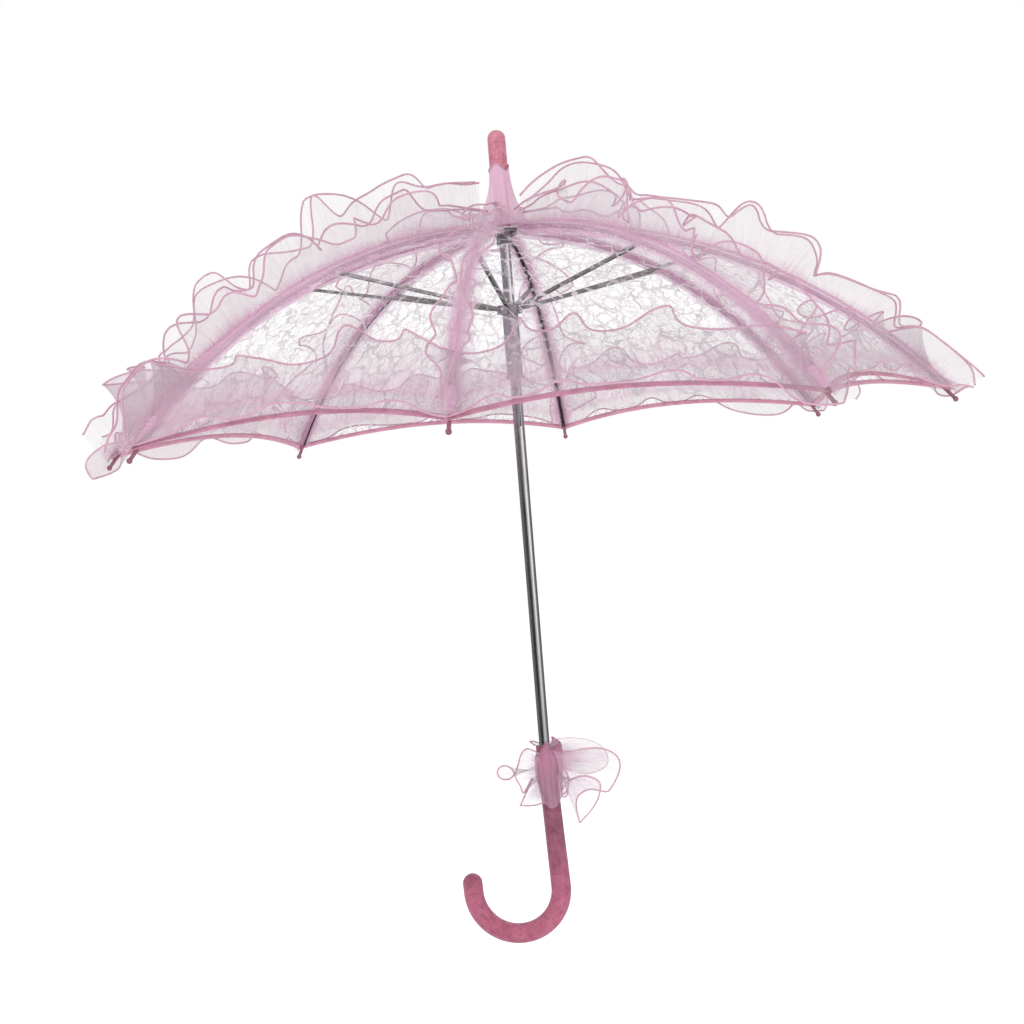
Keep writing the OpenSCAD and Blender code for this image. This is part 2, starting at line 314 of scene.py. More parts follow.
def make_weave():
    """Plain weave: raised warp and weft threads, and the gaps between them."""
    group, enter, leave = start_group(
        "plain_weave",
        [("Vector", "Vector", None), ("Threads", "Float", 1500.0)],
        [("Height", "Float"), ("Gaps", "Float")])
    b = Bench(group)
    split = b.add("SeparateXYZ", i0=enter.outputs["Vector"])
    waves = []
    for axis in ("X", "Y"):
        turns = b.math("MULTIPLY", split.outputs[axis], b.math("MULTIPLY", enter.outputs["Threads"], math.pi))
        waves.append(b.math("ABSOLUTE", b.math("SINE", turns)))
    b.links.new(b.math("MAXIMUM", waves[0], waves[1]), leave.inputs["Height"])
    gap = b.math("SUBTRACT", 1.0, b.math("MAXIMUM", waves[0], waves[1]))
    b.links.new(gap, leave.inputs["Gaps"])
    return group


def make_pleats():
    """Fine gathers that run away from a stitched line and fade with distance from it."""
    group, enter, leave = start_group(
        "gathers",
        [("Vector", "Vector", None), ("Per Metre", "Float", 160.0), ("Reach", "Float", 0.03)],
        [("Streak", "Float"), ("Closeness", "Float")])
    b = Bench(group)
    split = b.add("SeparateXYZ", i0=enter.outputs["Vector"])
    away = b.math("ABSOLUTE", split.outputs["Y"])
    along = b.math("MULTIPLY", split.outputs["X"], enter.outputs["Per Metre"])
    slow = b.math("MULTIPLY", away, 14.0)
    where = b.add("CombineXYZ", X=along, Y=slow, Z=0.0)
    lines = b.add("TexNoise", Vector=where.outputs[0], Scale=1.0, Detail=3.0, Roughness=0.62)
    near = b.math("SUBTRACT", 1.0, b.math("DIVIDE", away, enter.outputs["Reach"]), clamp=True)
    b.links.new(lines.outputs[0], leave.inputs["Streak"])
    b.links.new(near, leave.inputs["Closeness"])
    return group


def make_lace_figure():
    """Figured lace: meandering outline threads over a thin net, with open holes between them."""
    group, enter, leave = start_group(
        "lace_figure",
        [("Vector", "Vector", None), ("Stretch", "Float", 0.55)],
        [("Thread", "Float"), ("Net", "Float"), ("Tone", "Float")])
    b = Bench(group)
    wander = b.add("TexNoise", Vector=enter.outputs["Vector"], Scale=60.0, Detail=2.0, Roughness=0.6)
    centred = b.add("VectorMath", {"operation": "SUBTRACT"}, i0=wander.outputs["Color"], i1=(0.5, 0.5, 0.5))
    shift = b.add("VectorMath", {"operation": "SCALE"}, i0=centred.outputs[0])
    shift.inputs["Scale"].default_value = 0.020
    bent = b.add("VectorMath", {"operation": "ADD"}, i0=enter.outputs["Vector"], i1=shift.outputs[0])
    split = b.add("SeparateXYZ", i0=bent.outputs[0])
    drawn = b.math("MULTIPLY", split.outputs["Y"], enter.outputs["Stretch"])
    flat = b.add("CombineXYZ", X=split.outputs["X"], Y=drawn, Z=0.0)
    cells = b.add("TexVoronoi", {"feature": "DISTANCE_TO_EDGE", "voronoi_dimensions": "2D"},
                  Vector=flat.outputs[0], Scale=66.0, Randomness=1.0)
    patchy = b.add("TexNoise", Vector=flat.outputs[0], Scale=48.0, Detail=1.0)
    thick = b.between(patchy.outputs[0], 0.34, 0.70, -0.004, 0.070)
    outline = b.math("SUBTRACT", 1.0, b.between(cells.outputs["Distance"], thick, b.math("ADD", thick, 0.04)))
    scribble = b.add("TexNoise", Vector=flat.outputs[0], Scale=58.0, Detail=1.2, Roughness=0.5)
    turns = b.math("FRACT", b.math("MULTIPLY", scribble.outputs[0], 5.0))
    bands = b.math("ABSOLUTE", b.math("SUBTRACT", turns, 0.5))
    loops = b.math("SUBTRACT", 1.0, b.between(bands, 0.040, 0.085))
    kept = b.between(patchy.outputs[0], 0.60, 0.44)
    meander = b.math("MULTIPLY", loops, kept)
    figure = b.add("TexNoise", Vector=flat.outputs[0], Scale=34.0, Detail=2.0, Roughness=0.55)
    leafy = b.between(figure.outputs[0], 0.56, 0.62)
    small = b.add("TexVoronoi", {"feature": "DISTANCE_TO_EDGE", "voronoi_dimensions": "2D"},
                  Vector=flat.outputs[0], Scale=190.0, Randomness=1.0)
    net = b.math("SUBTRACT", 1.0, b.between(small.outputs["Distance"], 0.02, 0.12))
    fill = b.math("MULTIPLY", leafy, b.math("MULTIPLY", net, 0.55))
    drawn_thread = b.math("MAXIMUM", outline, b.math("MULTIPLY", meander, 0.85))
    b.links.new(b.math("MAXIMUM", drawn_thread, fill), leave.inputs["Thread"])
    b.links.new(leafy, leave.inputs["Net"])
    b.links.new(scribble.outputs[0], leave.inputs["Tone"])
    return group


MOTTLE = make_mottle()
WEAVE = make_weave()
PLEATS = make_pleats()
LACE_FIGURE = make_lace_figure()


# ---------------------------------------------------------------- finishes

def start_finish(name, **fixed):
    """Material with a Principled shader whose plain values are set on its own sockets."""
    mat = bpy.data.materials.new(name)
    mat.use_nodes = True
    b = Bench(mat.node_tree)
    shader = b.nodes["Principled BSDF"]
    for key, value in fixed.items():
        shader.inputs[key.replace("_", " ")].default_value = value
    return mat, b, shader


def group_node(b, group, **values):
    node = b.nodes.new("ShaderNodeGroup")
    node.node_tree = group
    for key, value in values.items():
        b.feed(value, node.inputs[key.replace("_", " ")])
    return node


def raise_surface(b, shader, height, distance, strength=1.0):
    bump = b.add("Bump", Height=height)
    bump.inputs["Distance"].default_value = distance
    bump.inputs["Strength"].default_value = strength
    b.links.new(bump.outputs[0], shader.inputs["Normal"])


def organza_finish(name, thin, dense, clear, full, reach_m, per_metre, left_shade_amount=0.0):
    """Sheer crisp cloth. Its map runs along the stitching (x) and away from it (y), in metres."""
    mat, b, shader = start_finish(name, Roughness=0.55, Sheen_Weight=0.15, Specular_IOR_Level=0.25)
    cloth = b.add("UVMap", {"uv_map": "cloth"})
    gathers = group_node(b, PLEATS, Vector=cloth.outputs[0], Per_Metre=per_metre, Reach=reach_m)
    patches = group_node(b, MOTTLE, Vector=cloth.outputs[0], Scale=28.0, Contrast=0.8)
    weave = group_node(b, WEAVE, Vector=cloth.outputs[0], Threads=900.0)
    close = b.math("POWER", gathers.outputs["Closeness"], 1.6)
    streak = b.between(gathers.outputs["Streak"], 0.38, 0.66)
    bunch = b.math("MULTIPLY", streak, b.math("ADD", b.math("MULTIPLY", close, 0.75), 0.22))
    thickness = b.math("ADD", b.math("MULTIPLY", close, 0.55), b.math("MULTIPLY", bunch, 0.62), clamp=True)
    uneven = b.math("MULTIPLY", patches.outputs["Mask"], 0.16)
    share = b.math("ADD", thickness, uneven, clamp=True)
    if left_shade_amount:
        # painted shade: the strip is made darker and denser towards the parasol's left side (low x), where
        # the frill lies in shade; the map read here says how much
        tight = b.add("SeparateXYZ", i0=b.add("UVMap", {"uv_map": "tight"}).outputs[0])
        share = b.math("ADD", share, b.math("MULTIPLY", tight.outputs["X"], left_shade_amount), clamp=True)
    colour = b.blend(share, (*thin, 1), (*dense, 1))
    b.links.new(colour, shader.inputs["Base Color"])
    cover = b.between(share, 0.0, 1.0, clear, full, smooth=False)
    solid = b.math("SUBTRACT", cover, b.math("MULTIPLY", weave.outputs["Gaps"], 0.10), clamp=True)
    b.links.new(solid, shader.inputs["Alpha"])
    relief = b.math("ADD", gathers.outputs["Streak"], b.math("MULTIPLY", weave.outputs["Height"], 0.08))
    raise_surface(b, shader, relief, 0.0016, 0.7)
    return mat


def lace_finish():
    mat, b, shader = start_finish("figured_lace", Roughness=0.7, Sheen_Weight=0.1, Specular_IOR_Level=0.2)
    cloth = b.add("UVMap", {"uv_map": "cloth"})
    rim = b.add("UVMap", {"uv_map": "edges"})
    figure = group_node(b, LACE_FIGURE, Vector=cloth.outputs[0], Stretch=0.55)
    # "edges" holds how far a point is from its rib (x) and from the hem (y), in metres
    split = b.add("SeparateXYZ", i0=rim.outputs[0])
    by_rib = b.math("SUBTRACT", 1.0, b.between(split.outputs["X"], 0.005, 0.018))
    by_hem = b.math("SUBTRACT", 1.0, b.between(split.outputs["Y"], 0.003, 0.016))
    sewn = b.math("MAXIMUM", by_rib, b.math("MULTIPLY", by_hem, 0.45))
    thread = figure.outputs["Thread"]
    tone = b.between(figure.outputs["Tone"], 0.35, 0.65)
    yarn = b.blend(tone, (0.50, 0.435, 0.475, 1), (0.76, 0.68, 0.73, 1))
    tinted = b.blend(sewn, yarn, (0.66, 0.46, 0.58, 1))
    b.links.new(tinted, shader.inputs["Base Color"])
    haze = b.math("ADD", 0.008, b.math("MULTIPLY", figure.outputs["Net"], 0.05))
    body = b.math("ADD", b.math("MULTIPLY", thread, 0.66), haze)
    cover = b.math("ADD", body, b.math("MULTIPLY", sewn, 0.62), clamp=True)
    b.links.new(cover, shader.inputs["Alpha"])
    raise_surface(b, shader, thread, 0.0006, 0.8)
    return mat


def corded_finish(name, low, high, threads=900.0, cover=1.0):
    """Rolled or folded edge of tightly stitched cloth."""
    mat, b, shader = start_finish(name, Roughness=0.6, Sheen_Weight=0.25, Alpha=cover,
                                  Specular_IOR_Level=0.25)
    place = b.add("TexCoord")
    blotch = group_node(b, MOTTLE, Vector=place.outputs["Object"], Scale=70.0, Contrast=0.9)
    twist = b.add("TexWave", {"wave_type": "BANDS", "bands_direction": "DIAGONAL"},
                  Vector=place.outputs["Object"], Scale=threads * 0.35, Distortion=2.5, Detail=1.0)
    shade = b.blend(blotch.outputs["Mask"], (*low, 1), (*high, 1))
    b.links.new(shade, shader.inputs["Base Color"])
    raise_surface(b, shader, twist.outputs[1], 0.0004, 0.6)
    return mat


def satin_finish(name, low, high, deep, scale, top=None):
    """Dyed satin drawn taut over a core: blotchy colour, soft creases, a low sheen."""
    mat, b, shader = start_finish(name, Roughness=0.42, Sheen_Weight=0.35, Sheen_Roughness=0.4,
                                  Specular_IOR_Level=0.45)
    place = b.add("TexCoord")
    blotch = group_node(b, MOTTLE, Vector=place.outputs["Object"], Scale=scale, Contrast=1.1)
    flecks = group_node(b, MOTTLE, Vector=place.outputs["Object"], Scale=scale * 2.6, Contrast=1.5)
    weave = group_node(b, WEAVE, Vector=place.outputs["Object"], Threads=1600.0)
    shade = b.blend(blotch.outputs["Mask"], (*low, 1), (*high, 1))
    # darker towards the top: between the first two heights of top the colour goes over to its two darker
    # tones
    if top:
        split = b.add("SeparateXYZ", i0=place.outputs["Object"])
        rise = b.between(split.outputs["Z"], top[0], top[1])
        darker = b.blend(blotch.outputs["Mask"], (*top[2], 1), (*top[3], 1))
        shade = b.blend(rise, shade, darker)
    dark = b.between(flecks.outputs["Mask"], 0.62, 0.92, 0.0, 0.55)
    colour = b.blend(dark, shade, (*deep, 1))
    b.links.new(colour, shader.inputs["Base Color"])
    gloss = b.between(flecks.outputs["Mask"], 0.2, 0.9, 0.34, 0.58)
    b.links.new(gloss, shader.inputs["Roughness"])
    relief = b.math("ADD", b.math("MULTIPLY", blotch.outputs["Mask"], 1.0),
                    b.math("MULTIPLY", weave.outputs["Height"], 0.12))
    raise_surface(b, shader, relief, 0.0009, 0.7)
    return mat


def metal_finish(name, bright, dull, rough, scale, metal=1.0, specks=0.0):
    """Drawn wire, tube or pressed strip: faint lengthwise drawing marks and small stains."""
    mat, b, shader = start_finish(name, Metallic=metal)
    place = b.add("TexCoord")
    drawn = b.add("Mapping", Vector=place.outputs["Object"])
    drawn.inputs["Scale"].default_value = (1.0, 1.0, 0.04)
    marks = group_node(b, MOTTLE, Vector=drawn.outputs[0], Scale=scale, Contrast=0.7)
    stains = group_node(b, MOTTLE, Vector=place.outputs["Object"], Scale=scale * 0.25, Contrast=1.2)
    worn = b.between(stains.outputs["Mask"], 0.55, 0.95, 0.0, specks)
    shade = b.blend(marks.outputs["Mask"], (*dull, 1), (*bright, 1))
    colour = b.blend(worn, shade, (dull[0] * 0.35, dull[1] * 0.33, dull[2] * 0.32, 1))
    b.links.new(colour, shader.inputs["Base Color"])
    gloss = b.between(marks.outputs["Mask"], 0.0, 1.0, rough * 0.8, rough * 1.35)
    b.links.new(gloss, shader.inputs["Roughness"])
    raise_surface(b, shader, marks.outputs["Mask"], 0.0001, 0.3)
    return mat


def plastic_finish(name, low, high, rough, scale):
    """Moulded plastic: fine grain, slightly uneven gloss."""
    mat, b, shader = start_finish(name, Specular_IOR_Level=0.45)
    place = b.add("TexCoord")
    grain = group_node(b, MOTTLE, Vector=place.outputs["Object"], Scale=scale, Contrast=0.8)
    shade = b.blend(grain.outputs["Mask"], (*low, 1), (*high, 1))
    b.links.new(shade, shader.inputs["Base Color"])
    gloss = b.between(grain.outputs["Mask"], 0.0, 1.0, rough * 0.8, rough * 1.25)
    b.links.new(gloss, shader.inputs["Roughness"])
    raise_surface(b, shader, grain.outputs["Mask"], 0.0002, 0.4)
    return mat


ORGANZA = organza_finish("sheer_organza", (0.60, 0.53, 0.565), (0.70, 0.39, 0.53),
                         0.13, 0.60, 0.022, 190.0)
# the hem frill's organza carries painted shade: darker and denser towards the parasol's left side
HEM_ORGANZA = organza_finish("hem_organza", (0.47, 0.41, 0.445), (0.58, 0.37, 0.465),
                             0.23, 0.72, 0.034, 190.0, 0.38)
BOW_ORGANZA = organza_finish("bow_organza", (0.56, 0.46, 0.515), (0.60, 0.33, 0.45),
                             0.25, 0.88, 0.036, 200.0)
KNOT_ORGANZA = organza_finish("knot_organza", (0.44, 0.25, 0.33), (0.50, 0.20, 0.31),
                              0.80, 0.97, 0.060, 260.0)
WRAP_ORGANZA = organza_finish("wrapped_organza", (0.84, 0.62, 0.76), (0.84, 0.50, 0.67),
                              0.60, 0.90, 0.060, 260.0)
TAPE = organza_finish("seam_tape", (0.80, 0.60, 0.73), (0.85, 0.47, 0.67),
                      0.40, 0.84, 0.009, 420.0)
LACE = lace_finish()
ROLLED = corded_finish("rolled_edge", (0.60, 0.33, 0.44), (0.76, 0.46, 0.58), cover=0.88)
BINDING = corded_finish("hem_binding", (0.44, 0.17, 0.25), (0.62, 0.29, 0.40), 700.0)
SATIN = satin_finish("handle_satin", (0.34, 0.075, 0.135), (0.50, 0.140, 0.225), (0.24, 0.045, 0.090), 75.0,
                     (-0.085, 0.0, (0.185, 0.050, 0.085), (0.33, 0.105, 0.165)))
CAP_SATIN = satin_finish("cap_satin", (0.48, 0.130, 0.195), (0.68, 0.270, 0.350), (0.36, 0.080, 0.140), 110.0)
CHROME = metal_finish("chromed_tube", (0.80, 0.80, 0.81), (0.66, 0.66, 0.68), 0.27, 900.0)
RIB_STEEL = metal_finish("enamelled_rib", (0.12, 0.105, 0.11), (0.055, 0.047, 0.05), 0.42, 500.0, 0.55, 0.4)
STAY_STEEL = metal_finish("stretcher_steel", (0.62, 0.61, 0.62), (0.36, 0.35, 0.36), 0.34, 500.0, 0.85, 0.4)
WIRE = metal_finish("binding_wire", (0.50, 0.49, 0.50), (0.30, 0.29, 0.30), 0.35, 700.0, 1.0, 0.3)
DARK_PLASTIC = plastic_finish("dark_plastic", (0.10, 0.085, 0.098), (0.18, 0.155, 0.175), 0.42, 260.0)
RUNNER_PLASTIC = plastic_finish("runner_plastic", (0.20, 0.17, 0.20), (0.31, 0.27, 0.31), 0.40, 260.0)
TIP_PLASTIC = plastic_finish("tip_plastic", (0.22, 0.080, 0.110), (0.34, 0.140, 0.180), 0.45, 300.0)
CORE_PLASTIC = plastic_finish("core_plastic", (0.42, 0.12, 0.20), (0.52, 0.17, 0.26), 0.45, 200.0)


def finish_node(name, mat):
    node = frame["nodes"][name]
    if not node.material_slots:
        node.data.materials.append(mat)
    for slot in node.material_slots:
        slot.material = mat


for node_name in frame["nodes"]:
    part = node_name.rstrip("0123456789").rstrip("_")
    chosen = {
        "shaft": CHROME, "crown": DARK_PLASTIC, "crown_wire": WIRE, "stop_pin": WIRE, "catch_spring": WIRE,
        "runner": RUNNER_PLASTIC, "runner_wire": WIRE, "ferrule": CAP_SATIN, "handle": CORE_PLASTIC,
        "handle_cover": SATIN, "rib": RIB_STEEL, "rib_tip": TIP_PLASTIC, "rivet": STAY_STEEL,
        "stretcher": STAY_STEEL,
    }.get(part)
    if chosen:
        finish_node(node_name, chosen)


# ---------------------------------------------------------------- cloth making

def cloth(name, across, along, place, charts, mat, outward, smooth=True):
    """Sheet grown from a grid. place(t, s) puts the corner at t in -1..1 across, s in 0..1 along.
    charts maps a map's name to chart(t, s, side), side being the half of the sheet that a face is in."""
    bm = bmesh.new()
    bmesh.ops.create_grid(bm, x_segments=across, y_segments=along, size=1.0)
    layers = {label: bm.loops.layers.uv.new(label) for label in charts}
    for face in bm.faces:
        side = 1 if sum(v.co.x for v in face.verts) > 0 else -1
        for loop in face.loops:
            t, s = loop.vert.co.x, (loop.vert.co.y + 1) / 2
            for label, chart in charts.items():
                loop[layers[label]].uv = chart(t, s, side)
    for v in bm.verts:
        v.co = place(v.co.x, (v.co.y + 1) / 2)
    bm.normal_update()
    facing = 0.0
    for face in bm.faces:
        facing += face.normal.dot(outward(face.calc_center_median())) * face.calc_area()
    if facing < 0:
        bmesh.ops.reverse_faces(bm, faces=bm.faces)
    return finished(name, bm, mat, smooth)


def finished(name, bm, mat, smooth=True):
    mesh = bpy.data.meshes.new(name)
    bm.to_mesh(mesh)
    bm.free()
    mesh.materials.append(mat)
    if smooth:
        mesh.shade_smooth()
    piece = bpy.data.objects.new(name, mesh)
    bpy.context.scene.collection.objects.link(piece)
    return piece


def rope(bm, path, wide, thick=None, facing=None, sides=6):
    """Adds a closed bar along a path: round, or wide x thick where facing gives its flat side's normals."""
    thick = thick or wide
    pts = [Vector(p) for p in path]
    count = len(pts)
    part = bmesh.new()
    bmesh.ops.create_grid(part, x_segments=sides, y_segments=count - 1, size=1.0)
    normals, sideways = [], []
    up = Vector((0.13, 0.21, 0.97))
    for i in range(count):
        run = (pts[min(i + 1, count - 1)] - pts[max(i - 1, 0)]).normalized()
        if facing:
            up = Vector(facing[i])
        up = (up - run * up.dot(run)).normalized()
        normals.append(up.copy())
        sideways.append(run.cross(up))
    for v in part.verts:
        j = round((v.co.y + 1) / 2 * (count - 1))
        turn = (v.co.x + 1) * math.pi
        v.co = pts[j] + sideways[j] * (wide * math.cos(turn)) + normals[j] * (thick * math.sin(turn))
    bmesh.ops.remove_doubles(part, verts=part.verts, dist=min(wide, thick) * 0.02)
    rims = [e for e in part.edges if e.is_boundary]
    bmesh.ops.holes_fill(part, edges=rims, sides=0)
    bmesh.ops.recalc_face_normals(part, faces=part.faces)
    scrap = bpy.data.meshes.new("scrap")
    part.to_mesh(scrap)
    part.free()
    bm.from_mesh(scrap)
    bpy.data.meshes.remove(scrap)


def outward_of_dome(point):
    return Vector((point.x, point.y, point.z - ARC_Z)).normalized()


def rib_point(k, theta, arc):
    """Point above rib k at angle theta from straight up, on the circle of radius arc."""
    a = azimuth(k)
    return Vector((arc * math.sin(theta) * math.cos(a), arc * math.sin(theta) * math.sin(a),
                   ARC_Z + arc * math.cos(theta)))


def gore_point(k, t, rho, lift=0.0):
    """Point of the taut cloth beside rib k: t runs from -1 to 1, the middles of the two gores."""
    here, there = azimuth(k), azimuth(k + (1 if t > 0 else -1))
    share = abs(t) / 2
    z = arc_height(rho, LACE_ARC)
    this_rib = Vector((math.cos(here), math.sin(here), 0))
    next_rib = Vector((math.cos(there), math.sin(there), 0))
    edge = this_rib.lerp(next_rib, share)
    point = Vector((edge.x * rho, edge.y * rho, z))
    width = 2 * rho * math.sin(math.pi / RIBS)
    normal = outward_of_dome(point)
    belly = 4 * share * (1 - share)
    return point + normal * (lift - 0.020 * width * belly)


def hem_rho(t):
    """Distance along the rib's direction of the hem at t: it is cut back between the tips."""
    share = abs(t) / 2
    return HEM_R - HEM_DIP * 4 * share * (1 - share)


# angles from straight up at which the lace starts and ends over a rib
THETA_NECK = math.asin(NECK_R / LACE_ARC)
THETA_HEM = math.asin(HEM_R / LACE_ARC)


def lace_place(k):
    def place(t, s):
        end = math.asin(hem_rho(t) / LACE_ARC)
        theta = THETA_NECK + (end - THETA_NECK) * s
        return gore_point(k, t, LACE_ARC * math.sin(theta))
    return place


def lace_chart(k):
    def chart(t, s, side):
        end = math.asin(hem_rho(t) / LACE_ARC)
        theta = THETA_NECK + (end - THETA_NECK) * s
        half = LACE_ARC * math.sin(theta) * math.sin(math.pi / RIBS)
        gore = k if side > 0 else k - 1
        gore = (gore - 1) % RIBS
        x = -(1 - abs(t)) * half * side
        return (x + 0.31 * gore + 0.05, LACE_ARC * theta + 0.173 * gore)
    return chart


def edge_chart(k):
    def chart(t, s, side):
        end = math.asin(hem_rho(t) / LACE_ARC)
        theta = THETA_NECK + (end - THETA_NECK) * s
        half = LACE_ARC * math.sin(theta) * math.sin(math.pi / RIBS)
        return (abs(t) * half, (end - theta) * LACE_ARC)
    return chart


def hem_line(k, t, up=0.0, lift=0.0):
    """Point on the cloth a distance up from the hem, at t."""
    end = math.asin(hem_rho(t) / LACE_ARC) - up / LACE_ARC
    return gore_point(k, t, LACE_ARC * math.sin(end), lift)


def ripple(seed, count):
    """Smooth wandering function of 0..1, -1..1 in size, the same each time for one seed."""
    rng = random.Random(seed)
    terms = [(rng.uniform(0.6, 1.0) / (n + 1), n + rng.uniform(0.4, 1.2), rng.uniform(0, math.tau))
             for n in range(count)]
    total = sum(a for a, _, _ in terms)
    return lambda x: sum(a * math.sin(math.tau * f * x + p) for a, f, p in terms) / total


# heights of the standing frill over ribs 5 and 1, as (degrees from straight up, metres)
FRILL_LEFT = (
    (1, .046), (3.5, .048), (5.5, .050), (7.5, .049), (9.0, .064), (10.8, .062), (12, .056),
    (14.5, .061), (17.9, .077), (18.8, .074), (19.7, .030), (21.5, .035), (23.2, .044),
    (24.4, .042), (25.3, .024), (26.8, .038), (28.6, .048), (31, .057), (31.9, .053), (32.8, .026),
    (34.2, .024), (35.6, .031), (38, .035), (39.3, .031), (40.2, .018), (42, .018), (43.5, .026),
    (45.2, .034), (46.9, .040), (49.5, .035))
FRILL_RIGHT = (
    (1, .018), (3.0, .032), (5.8, .053), (7.7, .060), (11.1, .055), (13.2, .051), (14.2, .034),
    (16, .033), (18.2, .037), (21, .043), (24.1, .054), (25.4, .050), (26.4, .028), (28.8, .040),
    (30.9, .043), (32.0, .018), (35, .020), (37.5, .026), (39.3, .035), (40.4, .016), (43, .026),
    (46, .026), (49.5, .029))


def frill_height(k):
    if k == 5:
        table = FRILL_LEFT
    elif k == 1:
        table = FRILL_RIGHT
    else:
        rng = random.Random(40 + k)
        quiet = {7: 0.55, 6: 0.85, 8: 0.85}.get(k, 1.0)
        table = [(1, .012), (5, .020), (9, .034 * quiet)]
        angle = 11.0
        while angle < 50:
            table.append((angle, rng.uniform(.038, .054) * quiet))
            angle += rng.uniform(2.2, 3.6)
            table.append((angle, rng.uniform(.036, .050) * quiet))
            angle += rng.uniform(0.9, 1.4)
            table.append((angle, rng.uniform(.020, .028) * quiet))
            angle += rng.uniform(1.6, 3.0)
    angles = [a for a, _ in table]
    heights = [h for _, h in table]

    def height(theta):
        spread = [float(np.interp(math.degrees(theta) + off, angles, heights)) for off in (-0.4, 0, 0.4)]
        return sum(spread) / 3
    return height


def smooth_steps(value):
    return value * value * (3 - 2 * value)


def crisp(turn):
    """Wave with long flat sides and quick turns, as stiff sheer cloth folds."""
    return math.tanh(1.15 * math.sin(turn)) / math.tanh(1.15)


def swell_at(swing, degrees, width):
    """Bump round the hem, 1 at one direction and fading over width degrees."""
    off = (math.degrees(swing) - degrees + 180) % 360 - 180
    return math.exp(-(off / width) ** 2)


FRILL_START = math.radians(2.2)
FRILL_END = THETA_HEM + math.radians(0.6)


def frill_place(k):
    """Strip gathered down its middle on the seam of rib k: both halves stand up and fold to and fro."""
    height = frill_height(k)
    a = azimuth(k)
    lateral = Vector((-math.sin(a), math.cos(a), 0))
    halves = {}
    for side in (-1, 1):
        seed = 100 + 10 * k + side
        rng = random.Random(seed)
        waves = rng.uniform(4.2, 5.0) * (0.7 if k == 7 else 1.0)
        start = rng.uniform(0, 1)
        halves[side] = (ripple(seed, 4), ripple(seed + 500, 5), start, waves, ripple(seed + 900, 3))

    def place(t, s):
        side = 1 if t > 0 else -1
        w = abs(t)
        slow, uneven, start, waves, small = halves[side]
        theta = FRILL_START + (FRILL_END - FRILL_START) * s
        phase = math.tau * (waves * s + start) + 1.1 * slow(s)
        base = rib_point(k, theta, LACE_ARC + 0.0012)
        normal = Vector((math.sin(theta) * math.cos(a), math.sin(theta) * math.sin(a), math.cos(theta)))
        along = Vector((math.cos(theta) * math.cos(a), math.cos(theta) * math.sin(a), -math.sin(theta)))
        room = smooth_steps(min(1.0, LACE_ARC * math.sin(theta) / 0.14))
        tall = height(theta) * (1.02 + 0.10 * uneven(s))
        lean = math.radians(30 + 25 * crisp(phase) + 4 * small(s)) * (0.25 + 0.75 * room)
        sway = 0.006 if k == 7 else 0.011
        over = (sway * math.sin(phase + 1.5) + 0.003 * small(s)) * (0.3 + 0.7 * room)
        turn = lean * (0.55 + 0.45 * w)
        up = w * tall
        out = up * math.sin(turn) + 0.0035 * w * (1 - w) * 4 * math.sin(phase * 2)
        point = base + normal * (up * math.cos(turn)) + lateral * (side * out) + along * (over * w ** 1.4)
        return point
    return place


def frill_chart(k, length):
    def chart(t, s, side):
        return (s * length + 0.7 * k, abs(t) * 0.055 * side)
    return chart


HEM_WAVES = 29   # folds of the hem frill round the whole canopy


def hem_frill_place(k):
    """Strip gathered along the hem: the upper half lies over the lace, the lower hangs past the edge."""

    def place(t, s):
        # s is across the strip: 0 the lower free edge, 0.5 the stitching, 1 the upper free edge
        share = (azimuth(k) + t * math.pi / RIBS) / math.tau
        share -= math.floor(share)
        swing = math.tau * share
        upper = s > 0.5
        w = abs(s - 0.5) * 2
        seed_turn = 0.0 if upper else 1.9
        wobble = 0.9 * math.sin(5 * swing + 0.4) + 0.5 * math.sin(11 * swing + 2.1 + seed_turn)
        wobble += 0.3 * math.sin(17 * swing + 5.0)
        phase = HEM_WAVES * swing + 1.5 * wobble + seed_turn
        base = hem_line(k, t, 0.021, 0.0015)
        radial = Vector((base.x, base.y, 0)).normalized()
        theta = math.asin(min(0.99, reach(base) / LACE_ARC))
        normal = radial * math.sin(theta) + Vector((0, 0, math.cos(theta)))
        rise = -radial * math.cos(theta) + Vector((0, 0, math.sin(theta)))
        tangent = Vector((-radial.y, radial.x, 0))
        swell = 0.5 + 0.5 * math.sin(7 * swing + 1.3) * math.sin(3 * swing + 0.2)
        if upper:
            tall = 0.034 + 0.018 * swell + 0.012 * swell_at(swing, 286, 8) + 0.006 * math.sin(phase * 0.5)
            tall += 0.010 * swell_at(swing, 195, 30)
            lean = math.radians(20 + 16 * crisp(phase) + 30 * swell_at(swing, 184, 14))
            over = 0.0060 * math.sin(phase + 1.4)
            step = rise
        else:
            hang = swell_at(swing, 54, 9) + 0.8 * swell_at(swing, 312, 6) + 0.7 * swell_at(swing, 4, 10)
            hang += 1.1 * swell_at(swing, 163, 13) + 1.0 * swell_at(swing, 184, 9)
            hang += 0.9 * swell_at(swing, 206, 8)
            tall = 0.0205 + 0.026 * min(hang, 1.4) + 0.002 * swell
            lean = math.radians(15 + 10 * crisp(phase) - 6 * hang)
            over = (0.003 + 0.008 * hang) * math.sin(phase + 1.2)
            step = -rise
        turn = lean * (0.5 + 0.5 * w)
        reach_out = w * tall
        point = base + step * (reach_out * math.cos(turn)) + normal * (reach_out * math.sin(turn))
        return point + tangent * (over * w ** 1.4)
    return place


def hem_frill_chart(k):
    def chart(t, s, side):
        return ((t + 1) * 0.15 * 1.6 + 0.9 * k, (s - 0.5) * 2 * 0.046)
    return chart


# painted shade for the hem frill: 1 on the parasol's left side (x below -0.38), fading to 0 by x = 0.16
def tightness_chart(place):
    def chart(t, s, side):
        away = min(max((place(t, s).x + 0.38) / 0.54, 0.0), 1.0)
        return (1 - smooth_steps(away), 0.5)
    return chart


def measured_area(piece):
    return sum(p.area for p in piece.data.polygons)


def fold_with(piece, k, keep):
    """The piece rides with rib k."""
    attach(piece, f"rib_{k}_set")
    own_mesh(piece)


